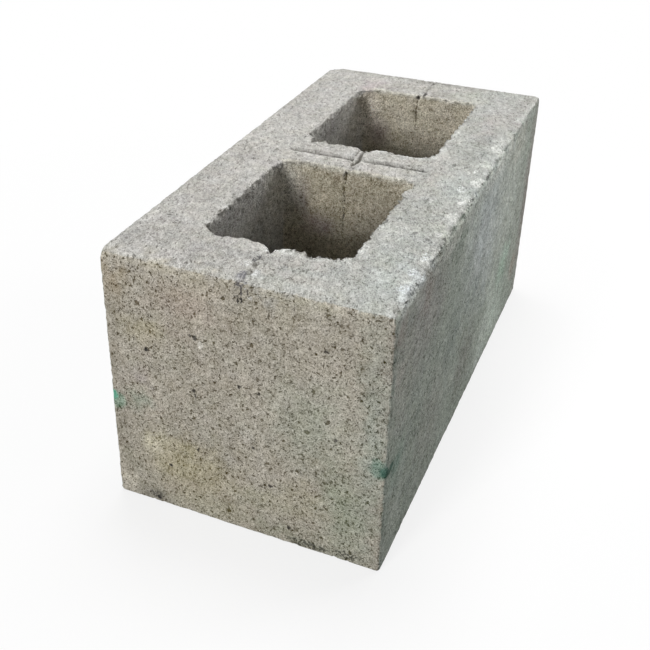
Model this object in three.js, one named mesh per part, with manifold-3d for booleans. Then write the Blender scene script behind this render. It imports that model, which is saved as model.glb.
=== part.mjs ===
// Hollow concrete block: one cast piece with two open cells, standing the way it left its mould.
// Millimetres, +Z up. X runs along the block, Y across it. The origin is the middle of the underside.

import * as THREE from "three";
import { mergeVertices } from "three/addons/utils/BufferGeometryUtils.js";
import Module from "manifold-3d";

// Outer form
const blockLength = 440;
const blockWidth = 215;
const blockHeight = 215;
const cornerRadius = 3; // upright arrises, in plan
const topArris = 2; // rounding where the tamper head met the mould wall
const footArris = 1; // rounding where the block stood on its pallet

// Walls, measured at the top face where they are thinnest
const sideShell = 50;
const endWeb = 50;
const centreWeb = 50;

// Cells: the cores lift out upwards, so each cell narrows towards the underside
const cellCount = 2;
const coreDraft = 2.5; // on each side, from the top face to the underside
const cellCornerRadius = 13;
const rimRadius = 2; // worn edge round each cell's mouth

// V groove pressed across the top of each web that stands between two cells
const grooveWidth = 5;
const grooveDepth = 4;
const grooveRunOut = 5; // length over which each end of the groove rises to the top face

// Marks of the core bar, a plate that ran the length of the mould and carried the cores
const barMarkWidth = 3;
const barMarkDepth = 1.5;
const barMarkRunOut = 6; // length over which a mark on an upright face dies away
const barDropAtEnds = 31; // reach of the marks down the faces of the end webs
const barDropAtCentre = 55; // reach of the marks down the faces of a centre web

// Fineness of the round forms
const planSegments = 5; // steps in each rounded corner
const edgeSegments = 4; // steps in each rounded edge

const cutClearance = 1; // how far a cutter passes the faces that it opens

// What follows from the sizes above
const cellWidth = blockWidth - 2 * sideShell;
const cellLength = (blockLength - 2 * endWeb - (cellCount - 1) * centreWeb) / cellCount;
const cellPitch = cellLength + centreWeb;
const firstCellX = -blockLength / 2 + endWeb + cellLength / 2;
const draftAngle = Math.atan2(coreDraft, blockHeight);

const wasm = await Module();
wasm.setup();

function toSolid(geometry) {
  const bare = geometry.index ? geometry.toNonIndexed() : geometry.clone();
  bare.deleteAttribute("normal");
  bare.deleteAttribute("uv");
  const merged = mergeVertices(bare, 1e-5);
  return new wasm.Manifold(
    new wasm.Mesh({
      numProp: 3,
      vertProperties: new Float32Array(merged.attributes.position.array),
      triVerts: new Uint32Array(merged.index.array),
    }),
  );
}

function toGeometry(solid) {
  const mesh = solid.getMesh();
  const indexed = new THREE.BufferGeometry();
  indexed.setAttribute("position", new THREE.BufferAttribute(mesh.vertProperties, 3));
  indexed.setIndex(new THREE.BufferAttribute(mesh.triVerts, 1));
  const geometry = indexed.toNonIndexed();
  geometry.computeVertexNormals();
  return geometry;
}

// Outline of a rectangle with rounded corners, anticlockwise from above
function roundedOutline(length, width, radius) {
  const x = length / 2 - radius;
  const y = width / 2 - radius;
  const shape = new THREE.Shape();
  shape.absarc(x, -y, radius, -Math.PI / 2, 0, false);
  shape.absarc(x, y, radius, 0, Math.PI / 2, false);
  shape.absarc(-x, y, radius, Math.PI / 2, Math.PI, false);
  shape.absarc(-x, -y, radius, Math.PI, Math.PI * 1.5, false);
  return shape.getPoints(planSegments);
}

function rectangleOutline(length, width) {
  const x = length / 2;
  const y = width / 2;
  return [
    new THREE.Vector2(-x, -y),
    new THREE.Vector2(x, -y),
    new THREE.Vector2(x, y),
    new THREE.Vector2(-x, y),
  ];
}

// Closed solid through outlines of equal point count, listed from the lowest to the highest
function loft(sections) {
  const count = sections[0].outline.length;
  const positions = sections.flatMap(({ outline, z }) => outline.flatMap((p) => [p.x, p.y, z]));
  const faces = [];
  for (let level = 0; level < sections.length - 1; level += 1) {
    for (let i = 0; i < count; i += 1) {
      const a = level * count + i;
      const b = level * count + ((i + 1) % count);
      faces.push(a, b, b + count, a, b + count, a + count);
    }
  }
  const topStart = (sections.length - 1) * count;
  for (const [a, b, c] of THREE.ShapeUtils.triangulateShape(sections[0].outline, [])) {
    faces.push(a, c, b, topStart + a, topStart + b, topStart + c);
  }
  const geometry = new THREE.BufferGeometry();
  geometry.setAttribute("position", new THREE.Float32BufferAttribute(positions, 3));
  geometry.setIndex(faces);
  return geometry;
}

// Angles that step round a quarter circle
function quarterSteps() {
  return Array.from({ length: edgeSegments + 1 }, (_, i) => (i / edgeSegments) * (Math.PI / 2));
}

// Outer form with every edge eased
function outerForm() {
  const level = (inset, z) => ({
    outline: roundedOutline(blockLength - 2 * inset, blockWidth - 2 * inset, cornerRadius),
    z,
  });
  const foot = quarterSteps().map((angle) =>
    level(footArris * (1 - Math.sin(angle)), footArris * (1 - Math.cos(angle))),
  );
  const top = quarterSteps().map((angle) =>
    level(topArris * (1 - Math.cos(angle)), blockHeight - topArris * (1 - Math.sin(angle))),
  );
  return loft([...foot, ...top]);
}

// Tapered core with a mouth that opens out round the worn rim
function cellCore() {
  const level = (widen, z) => {
    const inset = (coreDraft * (blockHeight - z)) / blockHeight - widen;
    const outline = roundedOutline(
      cellLength - 2 * inset,
      cellWidth - 2 * inset,
      cellCornerRadius + widen,
    );
    return { outline, z };
  };
  const rim = quarterSteps().map((angle) =>
    level(rimRadius * (1 - Math.cos(angle)), blockHeight - rimRadius * (1 - Math.sin(angle))),
  );
  return loft([level(0, -cutClearance), ...rim, level(rimRadius, blockHeight + cutClearance)]);
}

// V cutter along X with its open side at z = 0, passing it by the cut clearance.
// Its ends slope in by runOut between z = 0 and the tip at -depth.
function vCutter(length, width, depth, runOut) {
  const level = (z) => {
    const share = 1 + z / depth;
    const tip = width / 20;
    return {
      outline: rectangleOutline(length - 2 * runOut * (1 - share), tip + (width - tip) * share),
      z,
    };
  };
  return loft([level(-depth), level(cutClearance)]);
}

// Groove across the top of the web at x, as long as the cells are wide
function webGroove(x) {
  const cutter = vCutter(cellWidth, grooveWidth, grooveDepth, grooveRunOut);
  return cutter.rotateZ(Math.PI / 2).translate(x, 0, blockHeight);
}

// Mark along the top of a web of this thickness, open at both of the web's faces
function barMarkOnTop(x, thickness) {
  const length = thickness + 2 * (rimRadius + cutClearance);
  return vCutter(length, barMarkWidth, barMarkDepth, 0).translate(x, 0, blockHeight);
}

// Mark down an upright web face at x. The face looks along X by the sign given, and lean is
// its angle off the upright. The upper end passes the top face, the lower end dies away.
function barMarkOnFace(x, sign, lean, drop) {
  const length = 2 * drop;
  const cutter = vCutter(length, barMarkWidth, barMarkDepth, barMarkRunOut);
  return cutter.rotateY(sign * (Math.PI / 2 - lean)).translate(x, 0, blockHeight);
}

const step = (count, make) => Array.from({ length: count }, (_, i) => make(i));

const cellCentres = step(cellCount, (i) => firstCellX + i * cellPitch);
const centreWebs = step(cellCount - 1, (i) => firstCellX + (i + 0.5) * cellPitch);

function barMarks() {
  const marks = [];
  for (const side of [-1, 1]) {
    const endFace = (side * blockLength) / 2;
    const innerFace = endFace - side * endWeb;
    marks.push(barMarkOnTop(endFace - (side * endWeb) / 2, endWeb));
    marks.push(barMarkOnFace(endFace, side, 0, barDropAtEnds));
    marks.push(barMarkOnFace(innerFace, -side, draftAngle, barDropAtEnds));
  }
  for (const x of centreWebs) {
    marks.push(barMarkOnTop(x, centreWeb));
    for (const side of [-1, 1]) {
      marks.push(barMarkOnFace(x + (side * centreWeb) / 2, side, draftAngle, barDropAtCentre));
    }
  }
  return marks;
}

function blockGeometry() {
  const cutters = [
    ...cellCentres.map((x) => cellCore().translate(x, 0, 0)),
    ...centreWebs.map((x) => webGroove(x)),
    ...barMarks(),
  ];
  const solid = cutters.reduce((body, cutter) => body.subtract(toSolid(cutter)), toSolid(outerForm()));
  return toGeometry(solid);
}

const concrete = new THREE.MeshStandardMaterial({ color: 0xaca89e, roughness: 0.95, metalness: 0 });

const block = new THREE.Mesh(blockGeometry(), concrete);
block.name = "block";

const group = new THREE.Group();
group.add(block);

export default group;
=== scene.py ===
import math
from collections import namedtuple

import bpy
import numpy as np
from bpy.props import FloatProperty, FloatVectorProperty, IntProperty, PointerProperty
from mathutils import Euler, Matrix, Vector, noise


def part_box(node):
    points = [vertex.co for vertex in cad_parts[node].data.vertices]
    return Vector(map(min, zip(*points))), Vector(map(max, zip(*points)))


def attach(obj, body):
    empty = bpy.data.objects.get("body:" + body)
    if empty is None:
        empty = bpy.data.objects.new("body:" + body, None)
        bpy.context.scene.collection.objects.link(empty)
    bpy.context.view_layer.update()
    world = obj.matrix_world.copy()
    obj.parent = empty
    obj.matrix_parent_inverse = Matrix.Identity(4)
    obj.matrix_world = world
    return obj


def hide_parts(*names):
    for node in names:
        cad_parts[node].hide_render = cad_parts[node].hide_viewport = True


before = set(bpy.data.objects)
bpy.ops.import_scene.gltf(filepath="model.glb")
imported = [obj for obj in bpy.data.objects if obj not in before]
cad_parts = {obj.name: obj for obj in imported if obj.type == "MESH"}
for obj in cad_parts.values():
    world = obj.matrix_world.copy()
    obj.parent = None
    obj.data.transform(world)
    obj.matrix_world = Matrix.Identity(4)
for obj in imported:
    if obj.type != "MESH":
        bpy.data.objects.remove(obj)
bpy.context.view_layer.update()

bl_info = {
    "name": "Hollow concrete block",
    "version": (1, 0, 0),
    "blender": (4, 5, 0),
    "location": "View3D > Sidebar > Block",
    "description": "Casts a hollow concrete block with worn edges, pressed marks and a studio stage",
    "category": "Object",
}

MM = 0.001
NODE = "block"
BODY = "root"
LOW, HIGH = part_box(NODE)


def linear(hex_colour):
    """Linear colour of an sRGB hex value."""
    shares = [int(hex_colour[i : i + 2], 16) / 255 for i in (0, 2, 4)]
    return tuple(s / 12.92 if s <= 0.04045 else ((s + 0.055) / 1.055) ** 2.4 for s in shares)


def length(name, description, millimetres):
    """Property for a real length, kept in metres."""
    settings = {"default": millimetres * MM, "min": 0, "unit": "LENGTH", "subtype": "DISTANCE"}
    return FloatProperty(name=name, description=description, **settings)


def colour(name, description, hex_colour):
    """Property for a colour written as sRGB hex."""
    settings = {"default": linear(hex_colour), "size": 3, "min": 0, "max": 1, "subtype": "COLOR"}
    return FloatVectorProperty(name=name, description=description, **settings)


class BlockSizes(bpy.types.PropertyGroup):
    """Sizes of the cast form."""

    side_shell: length("Side shell", "Thickness of the long walls at the top", 50)
    end_web: length("End web", "Thickness of the end walls at the top", 50)
    centre_web: length("Centre web", "Thickness of the wall between the cells at the top", 50)
    core_draft: length("Core draft", "Taper on each side of a cell over its height", 2.5)
    cell_corner: length("Cell corner", "Radius of a cell's upright corners", 13)
    corner: length("Corner", "Radius of the block's upright corners", 2)
    top_arris: length("Top arris", "Radius of the edge round the top", 1.2)
    foot_arris: length("Foot arris", "Radius of the edge round the underside", 1)
    skin: length("Skin", "How far the form lies inside the mould's faces before it is weathered", 0.1)
    seam_width: length("Seam width", "Mouth of the mark that the core bar left down the walls", 3.4)
    seam_depth: length("Seam depth", "Depth of the mark that the core bar left down the walls", 3.0)
    seam_drop_ends: length("Seam drop at ends", "Reach of the core bar's mark down the end webs", 31)
    seam_drop_centre: length("Seam drop at centre", "Reach of the core bar's mark down the centre web", 55)
    voxel: length("Voxel", "Size of the cells that the cast surface is resampled with", 1.1)
    triangles: IntProperty(name="Triangles", description="Triangles kept in the cast surface", default=190000)


class BlockColours(bpy.types.PropertyGroup):
    """Tones of the cast faces and their stains."""

    top: colour("Top", "Trowelled grey of the top face", "b8b6b0")
    top_right: colour("Top right", "Bluish white bloom on the top's worn long side", "b2b3ad")
    end: colour("Ends", "Warm grey of the open-textured ends", "bfb8a9")
    side: colour("Sides", "Greenish grey of the dense long sides", "a3aa9f")
    foot: colour("Underside", "Grey of the face that stood on the pallet", "aeaaa0")
    cell_end: colour("Cell ends", "Tan of the cell walls that face the ends", "b2aa96")
    cell_side: colour("Cell sides", "Grey of the cell walls that face the sides", "acaaa4")
    lip: colour("Lip", "Cream paste pressed over the cells' far mouths", "cdc9bb")
    crumb: colour("Crumb", "Pale broken paste on worn edges", "d5d6d1")


class StageSizes(bpy.types.PropertyGroup):
    """Camera."""

    lens: FloatProperty(
        name="Lens", description="Focal length on a 36 mm sensor", default=54.663, min=1, unit="CAMERA"
    )


GROUPS = {"block_sizes": BlockSizes, "block_colours": BlockColours, "block_stage": StageSizes}


def fill(tree, node, links):
    """Fills a node's inputs with values or other nodes' outputs, the first where only the node is given."""
    for key, value in links.items():
        if isinstance(value, bpy.types.Node):
            value = value.outputs[0]
        if isinstance(value, bpy.types.NodeSocket):
            tree.links.new(value, node.inputs[key])
        else:
            node.inputs[key].default_value = value


def add(tree, kind, links=None, **settings):
    """Adds a node, sets its properties and fills its inputs."""
    node = tree.nodes.new(kind)
    for name, value in settings.items():
        setattr(node, name, value)
    fill(tree, node, links or {})
    return node


# ---- the cast form, modelled by hand ----


def apply_modifiers(piece):
    """Applies a piece's modifiers in order."""
    bpy.ops.object.select_all(action="DESELECT")
    piece.select_set(True)
    bpy.context.view_layer.objects.active = piece
    for modifier in list(piece.modifiers):
        bpy.ops.object.modifier_apply(modifier=modifier.name)


def select(piece, kind, test):
    """In edit mode, selects the vertices, edges or faces that pass a test on their place."""
    bpy.ops.mesh.select_mode(type=kind)
    bpy.ops.mesh.select_all(action="DESELECT")
    bpy.ops.object.mode_set(mode="OBJECT")
    mesh = piece.data
    places = {
        "VERT": lambda: [v.co for v in mesh.vertices],
        "EDGE": lambda: [[mesh.vertices[i].co for i in e.vertices] for e in mesh.edges],
        "FACE": lambda: [f.center for f in mesh.polygons],
    }[kind]()
    items = {"VERT": mesh.vertices, "EDGE": mesh.edges, "FACE": mesh.polygons}[kind]
    for item, place in zip(items, places):
        item.select = bool(test(place))
    bpy.ops.object.mode_set(mode="EDIT")


def cast_form(sizes):
    """The mould's form: a box with two tapered cells, cut and bridged by hand."""
    skin = Vector((sizes.skin, sizes.skin, sizes.skin))
    low = LOW + skin
    high = HIGH - skin
    bpy.ops.object.select_all(action="DESELECT")
    bpy.ops.mesh.primitive_cube_add(size=1, location=(low + high) / 2, scale=high - low)
    block = bpy.context.active_object
    block.name = "cast_block"
    bpy.ops.object.transform_apply(location=True, rotation=True, scale=True)

    bpy.ops.object.mode_set(mode="EDIT")
    select(block, "EDGE", lambda ends: abs(ends[0].z - ends[1].z) > MM)
    bpy.ops.mesh.bevel(offset=sizes.corner, segments=4, affect="EDGES")
    select(block, "EDGE", lambda ends: all(p.z > high.z - MM / 10 for p in ends))
    bpy.ops.mesh.bevel(offset=sizes.top_arris, segments=3, affect="EDGES")
    select(block, "EDGE", lambda ends: all(p.z < low.z + MM / 10 for p in ends))
    bpy.ops.mesh.bevel(offset=sizes.foot_arris, segments=2, affect="EDGES")

    half_web = sizes.centre_web / 2
    end = HIGH.x - sizes.end_web
    side = HIGH.y - sizes.side_shell
    for x in (-end, -half_web, half_web, end):
        bpy.ops.mesh.select_all(action="SELECT")
        bpy.ops.mesh.bisect(plane_co=(x, 0, 0), plane_no=(1, 0, 0))
    for y in (-side, side):
        bpy.ops.mesh.select_all(action="SELECT")
        bpy.ops.mesh.bisect(plane_co=(0, y, 0), plane_no=(0, 1, 0))

    select(block, "FACE", lambda p: half_web < abs(p.x) < end and abs(p.y) < side)
    bpy.ops.mesh.delete(type="FACE")
    reach = (end - half_web) / 2
    for middle in (-half_web - reach, half_web + reach):

        def within(p):
            return abs(p.x - middle) < reach + MM and abs(p.y) < side + MM

        def on_mouth(ends):
            return abs(ends[0].z - ends[1].z) < MM and all(within(p) for p in ends)

        select(block, "EDGE", on_mouth)
        bpy.ops.mesh.bridge_edge_loops()

        def upright_corner(ends):
            upright = abs(ends[0].z - ends[1].z) > MM
            return upright and all(
                abs(abs(p.x - middle) - reach) < MM and abs(abs(p.y) - side) < MM for p in ends
            )

        select(block, "EDGE", upright_corner)
        bpy.ops.mesh.bevel(offset=sizes.cell_corner, segments=6, affect="EDGES")
        select(block, "VERT", lambda p: p.z < low.z + MM and within(p))
        narrowed = (1 - sizes.core_draft / reach, 1 - sizes.core_draft / side, 1)
        bpy.ops.transform.resize(value=narrowed, center_override=(middle, 0, low.z))
    bpy.ops.mesh.select_all(action="SELECT")
    bpy.ops.mesh.normals_make_consistent(inside=False)
    bpy.ops.object.mode_set(mode="OBJECT")
    return block


# ---- places on the block, measured on arrays of its vertices ----


def near(distance, reach):
    """1 on a line or edge, falling smoothly to 0 at its reach."""
    share = np.clip(1 - distance / reach, 0, 1)
    return share * share * (3 - 2 * share)


class Places:
    """Distances from the block's edges, mouths and marks, at every vertex."""

    def __init__(self, piece, sizes):
        co = np.empty(len(piece.data.vertices) * 3)
        piece.data.vertices.foreach_get("co", co)
        self.co = co.reshape(-1, 3)
        self.x, self.y, self.z = self.co.T
        self.to_end = HIGH.x - np.abs(self.x)
        self.to_side = HIGH.y - np.abs(self.y)
        self.to_top = HIGH.z - self.z
        self.to_foot = self.z - LOW.z
        half_web = sizes.centre_web / 2
        reach_x = (HIGH.x - sizes.end_web - half_web) / 2
        reach_y = HIGH.y - sizes.side_shell
        self.x_in_cell = self.x - np.sign(self.x) * (half_web + reach_x)
        over_x = np.abs(self.x_in_cell) - reach_x
        over_y = np.abs(self.y) - reach_y
        self.facing_x = over_x > over_y
        # 1 where a mouth's edge faces along X and 0 along Y, changing over 24 mm round its corners
        self.turned_x = np.clip(0.5 + (over_x - over_y) / (24 * MM), 0, 1)
        qx = over_x + sizes.cell_corner
        qy = over_y + sizes.cell_corner
        outside = np.hypot(np.maximum(qx, 0), np.maximum(qy, 0))
        self.from_cell = outside + np.minimum(np.maximum(qx, qy), 0) - sizes.cell_corner
        out_x = np.where(outside > 0, np.maximum(qx, 0), self.facing_x)
        out_y = np.where(outside > 0, np.maximum(qy, 0), ~self.facing_x)
        out = np.c_[np.sign(self.x_in_cell) * out_x, np.sign(self.y) * out_y, np.zeros(len(out_x))]
        self.out_of_cell = out / np.maximum(np.linalg.norm(out, axis=1), MM / 100)[:, None]
        self.inside = (self.from_cell < 6 * MM) & (self.to_top > 0.5 * MM)
        self.from_mouth = np.hypot(np.maximum(self.from_cell, 0), self.to_top)

    def edge(self, first, second):
        """Distance from the outer edge where two faces meet, each given as axis and sign."""
        faces = {
            "+x": HIGH.x - self.x,
            "-x": self.x - LOW.x,
            "+y": HIGH.y - self.y,
            "-y": self.y - LOW.y,
            "+z": HIGH.z - self.z,
            "-z": self.z - LOW.z,
        }
        return np.hypot(faces[first], faces[second])

    def point(self, x, y, z):
        """Distance from a point given in millimetres."""
        return np.linalg.norm(self.co - np.array([x, y, z]) * MM, axis=1)

    def line(self, points):
        """Distance in plan from a line through points given in millimetres."""
        nearest = np.full(len(self.x), np.inf)
        here = self.co[:, :2]
        for start, end in zip(points[:-1], points[1:]):
            start = np.array(start) * MM
            run = np.array(end) * MM - start
            share = np.clip((here - start) @ run / (run @ run), 0, 1)
            away = np.linalg.norm(here - start - share[:, None] * run, axis=1)
            nearest = np.minimum(nearest, away)
        return nearest


def store(piece, name, values):
    """Keeps a value at every vertex under a name."""
    attribute = piece.data.attributes.new(name, "FLOAT", "POINT")
    attribute.data.foreach_set("value", values.astype(np.float32))


# Outer edges with how strongly each is worn at the block's low and high X ends, from 0 to 1, and how far
# the wear reaches in mm
EDGE_WEAR = [
    ("-y", "+z", 0.85, 0.25, 6.5),
    ("-x", "+z", 0.28, 0, 5),
    ("+y", "+z", 0.08, 0.08, 4),
    ("+x", "+z", 0, 0.05, 4),
    ("-x", "-y", 0.12, 0, 3.5),
    ("-x", "+y", 0.10, 0, 3.5),
    ("+x", "-y", 0, 0.06, 3.5),
    ("+x", "+y", 0, 0.14, 4),
    ("-x", "-z", 0.03, 0, 4),
    ("-y", "-z", 0.04, 0.04, 4),
    ("+x", "-z", 0, 0.20, 4),
    ("+y", "-z", 0.20, 0.20, 4),
]
# Where along X the wear of an edge changes from that of one end to that of the other, in mm
WEAR_CHANGE = (50, 110)

# Chips and bites: place in mm, then radius and depth
BITES = [
    (-131, 57, 213, 5, 3),
    (25, 46, 214, 5, 3),
    (-95, -58, 214, 5, 1.5),
    (-60, -58, 214, 4, 1.5),
    (218, 105, 214, 7, 2.6),
    (-218, 105, 214, 5, 2),
    (-150, -107, 214, 5, 2),
    (-186, -107, 214, 6, 2.5),
    (-60, -107, 214, 6, 2.5),
]

# Grooves, seams and cracks in the top: places along each in mm, width and depth in mm, how broken it
# is and how much of its depth is painted as shade in it
CRACKS = [
    ([(0.8, 57), (1.5, 30), (1.4, 7)], 8, 3.6, 0.7, 0.8),
    ([(-0.8, 56), (-0.6, 30), (-0.4, 10)], 4, 1.4, 2, 1),
    ([(1.8, -7), (2.4, -30), (2.6, -57)], 8, 4.2, 0.5, 0.8),
    ([(0.4, -8), (0.8, -30), (1.2, -56)], 4, 1.4, 2, 1),
    ([(25, -0.5), (17, 1.4), (10, 0.4), (2, -1.6)], 4, 3.4, 0.9, 1.2),
    ([(1, -1.2), (-4, -0.8), (-9, 0.4)], 6, 4.2, 0.8, 1),
    ([(22, 6), (12, 5.2), (4, 4.6), (-3, 3.4)], 3.4, 1.6, 1.8, 1),
    ([(-216, 0), (-200, -0.5), (-190, 1.5), (-182, 1), (-169, -1)], 5.5, 1.8, 2.6, 1),
    ([(169, 0), (185, -2), (221, -3)], 5, 1.8, 2.2, 1),
    ([(-27, 1), (-20, -2), (-12, -1)], 7, 1.2, 2.6, 1),
]

# How far the low X edges of the cells' mouths stand into their cells: places along Y and the reach there
# in mm, for the near cell at low X and the far cell
NEAR_MOUTH = (
    (-57, -52, -48, -44, -40, -37, -34, -31, -28, -25, -23, -19, -15, -10)
    + (-6, -4, -2, 1, 4, 7, 10, 18, 28, 34, 44, 46, 50, 57),
    (3, 4, 5.5, 5, 7.6, 2.4, 8.4, 0.5, 3.2, 5.8, 7.2, 5.4, 8, 5)
    + (7.2, 4.4, 3, 0.6, 3, 5.4, 5.8, 7.2, 7.6, 5.6, 4.2, 3.3, 2.6, 1.5),
)
FAR_MOUTH = (
    (-57, -52, -48, -44, -36, -28, -20, -15, -10, -7, -5, -2)
    + (1, 3, 6, 10, 16, 22, 27, 34, 40, 46, 50, 57),
    (-3, -2, -1, 3, 1.2, 1.8, 1.4, 4, 4, 4, -1.6, -3.4)
    + (-1.6, -3.2, 0, 0.4, 1.5, 1.2, 3.6, 0.2, 6.4, 4.6, -3, -1),
)
# The same for their high X edges, in the near and the far cell
HIGH_X_MOUTH = (-3.0, -1.0)
# The same for their long edges: at high Y, and at low Y in the near and the far cell
SIDE_MOUTH = (0.3, 2.8, 1.8)
# How far the mouths' corners are filled in mm: at low X, and at high X for low and high Y
MOUTH_ROUNDING = (8, -8, 3)
# Lumps along the mouths in mm: size, and how far they reach where the mouth is crumbled and elsewhere
MOUTH_LUMPS = [(4.5, 2.6, 1.3), (2.3, 2.0, 1.4)]
# How far from a mouth's edge the surface still moves with it, in mm
MOUTH_REACH = 16
# How lumpy the low X edges are, from 0 to 1: the near cell's at low and at high Y, and the far cell's
LOW_X_LUMPY = (1.0, 0.3, 0.5)
# The same for both cells' edges at high and at low Y, and at high X
SIDE_LUMPY = (0.25, 0.45)
HIGH_X_LUMPY = 0.2
# How far from a mouth's edge the lumps go on, in mm
LUMPY_REACH = 9


def speckle(places, where, grain):
    """Noise around 0 with grains of a size in mm, worked out only where it is asked for."""
    values = np.zeros(len(places.x))
    chosen = np.flatnonzero(where)
    values[chosen] = [noise.noise(Vector(p) / (grain * MM)) for p in places.co[chosen]]
    return values


def deliberate_relief(places, sizes):
    """Depth of the marks with a known place, and how much of it is painted as shade: grooves, cracks, seam
    and chips.
    """
    sink = np.zeros(len(places.x))
    dark = np.zeros(len(places.x))
    on_top = near(places.to_top, 6 * MM)
    for points, width, depth, broken, shade in CRACKS:
        crack = np.minimum(1.5 * near(places.line(points), width / 2 * MM), 1) * on_top
        crack *= depth * MM * np.clip(1 + broken * speckle(places, crack > 0, 3.5), 0, 1.5)
        sink += crack
        dark += shade * crack

    centre = np.abs(places.x) < sizes.centre_web
    drop = np.where(centre, sizes.seam_drop_centre, sizes.seam_drop_ends)
    fade = np.clip((drop - places.to_top) / (6 * MM), 0, 1)
    across = places.y - (1.2 * MM + 0.5 * MM * np.sin(places.z / (5 * MM)))
    seam = near(np.abs(across), sizes.seam_width / 2) * fade * np.clip(places.to_top / (3 * MM), 0, 1)
    beads = np.clip(0.6 + 2.6 * speckle(places, seam > 0, 2.2), 0, 1.3)
    marks = sizes.seam_depth * seam * beads * np.where(places.inside, 1.0, 0.4)
    for x, y, z, radius, depth in BITES:
        marks += depth * MM * near(places.point(x, y, z), radius * MM * 1.4)
    return sink + marks, dark + marks


def shape_mouths(block, places):
    """Moves the edges of the cells' mouths in plan, which leaves them level with the top."""
    across = places.y / MM
    in_near_cell = places.x < 0
    low_x = np.where(in_near_cell, np.interp(across, *NEAR_MOUTH), np.interp(across, *FAR_MOUTH))
    facing_x = np.where(places.x_in_cell < 0, low_x, np.where(in_near_cell, *HIGH_X_MOUTH))
    facing_y = np.where(places.y > 0, SIDE_MOUTH[0], np.where(in_near_cell, *SIDE_MOUTH[1:]))
    stand = places.turned_x * facing_x + (1 - places.turned_x) * facing_y
    rounding = np.where(places.y < 0, *MOUTH_ROUNDING[1:])
    rounding = np.where(places.x_in_cell < 0, MOUTH_ROUNDING[0], rounding)
    stand += rounding * np.sqrt(places.turned_x * (1 - places.turned_x))
    reach = near(places.from_mouth, MOUTH_REACH * MM)
    crumbled = rim_wear(places) > 0.3
    lumps = np.zeros(len(stand))
    for size, crumbled_reach, even_reach in MOUTH_LUMPS:
        lumps += np.where(crumbled, crumbled_reach, even_reach) * speckle(places, reach > 0, size)
    moved = places.co - places.out_of_cell * ((stand + lumps) * reach * MM)[:, None]
    block.data.vertices.foreach_set("co", moved.ravel())


def rim_wear(places):
    """How lumpy each cell's mouth is, from 0 to 1."""
    low_x = np.where(places.y < 2 * MM, *LOW_X_LUMPY[:2])
    low_x = np.where(places.x < 0, low_x, LOW_X_LUMPY[2])
    facing_x = np.where(places.x_in_cell < 0, low_x, HIGH_X_LUMPY)
    lumpy = np.where(places.facing_x, facing_x, np.where(places.y > 0, *SIDE_LUMPY))
    return lumpy * near(places.from_mouth, LUMPY_REACH * MM)


# One texture that raises or sinks the surface where its mask is: feature size in mm, the texture's values
# `low` and `high` between which the depth runs from `first` to `last` (in mm, sinking is positive), and
# how much of that depth is also painted on the surface as shade
Layer = namedtuple("Layer", "mask kind size detail low high first last shade")
RELIEF = [
    Layer("whole", "NOISE", 60, 1, 0.30, 0.70, 0.0, 0.15, 0),
    Layer("whole", "NOISE", 7, 3, 0.35, 0.75, 0.0, 0.40, 0.5),
    Layer("porous", "NOISE", 5, 2, 0.60, 0.72, 0.0, 1.2, 1),
    Layer("worn_edge", "NOISE", 18, 4, 0.38, 0.66, 0.2, 2.2, 0),
    Layer("worn_edge", "STONES", 4.6, 0, 0.15, 0.60, 0.0, 2.6, 0.5),
    Layer("worn_edge", "NOISE", 3.8, 2, 0.45, 0.60, 0.0, 2.2, 0.7),
    Layer("worn_rim", "NOISE", 14, 3, 0.35, 0.65, 0.0, 0.8, 0),
    Layer("worn_rim", "STONES", 5.5, 0, 0.15, 0.60, 0.0, 1.6, 0.9),
]


def weather(block, relief):
    """Moves the surface along its normals by the stored marks and by masked textures, and keeps how deep the
    painted shade of its hollows is.
    """
    tree = bpy.data.node_groups.new("weathered surface", "GeometryNodeTree")
    tree.interface.new_socket("Geometry", in_out="INPUT", socket_type="NodeSocketGeometry")
    tree.interface.new_socket("Geometry", in_out="OUTPUT", socket_type="NodeSocketGeometry")
    inlet = add(tree, "NodeGroupInput")
    outlet = add(tree, "NodeGroupOutput")
    position = add(tree, "GeometryNodeInputPosition")
    normal = add(tree, "GeometryNodeInputNormal")
    moved = add(tree, "GeometryNodeInputNamedAttribute", {"Name": "sink"}, data_type="FLOAT")
    shaded = add(tree, "GeometryNodeInputNamedAttribute", {"Name": "dark"}, data_type="FLOAT")
    for layer in relief:
        texture = {"Vector": position, "Scale": 1 / (layer.size * MM)}
        if layer.kind == "NOISE":
            texture = add(tree, "ShaderNodeTexNoise", {**texture, "Detail": layer.detail})
        else:
            texture = add(tree, "ShaderNodeTexVoronoi", texture)
        ramp = {
            "Value": texture,
            "From Min": layer.low,
            "From Max": layer.high,
            "To Min": layer.first * MM,
            "To Max": layer.last * MM,
        }
        depth = add(tree, "ShaderNodeMapRange", ramp, interpolation_type="SMOOTHSTEP")
        mask = add(tree, "GeometryNodeInputNamedAttribute", {"Name": layer.mask}, data_type="FLOAT")
        here = add(tree, "ShaderNodeMath", {0: depth, 1: mask}, operation="MULTIPLY")
        moved = add(tree, "ShaderNodeMath", {0: here, 1: moved}, operation="ADD")
        shaded = {0: here, 1: layer.shade, 2: shaded}
        shaded = add(tree, "ShaderNodeMath", shaded, operation="MULTIPLY_ADD")
    inward = add(tree, "ShaderNodeMath", {0: moved, 1: -1}, operation="MULTIPLY")
    offset = add(tree, "ShaderNodeVectorMath", {0: normal, "Scale": inward}, operation="SCALE")
    kept = {"Geometry": inlet, "Name": "hollow", "Value": shaded}
    kept = add(tree, "GeometryNodeStoreNamedAttribute", kept, data_type="FLOAT", domain="POINT")
    placed = add(tree, "GeometryNodeSetPosition", {"Geometry": kept, "Offset": offset})
    fill(tree, outlet, {0: placed})
    block.modifiers.new("weather", "NODES").node_group = tree
    apply_modifiers(block)


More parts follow.
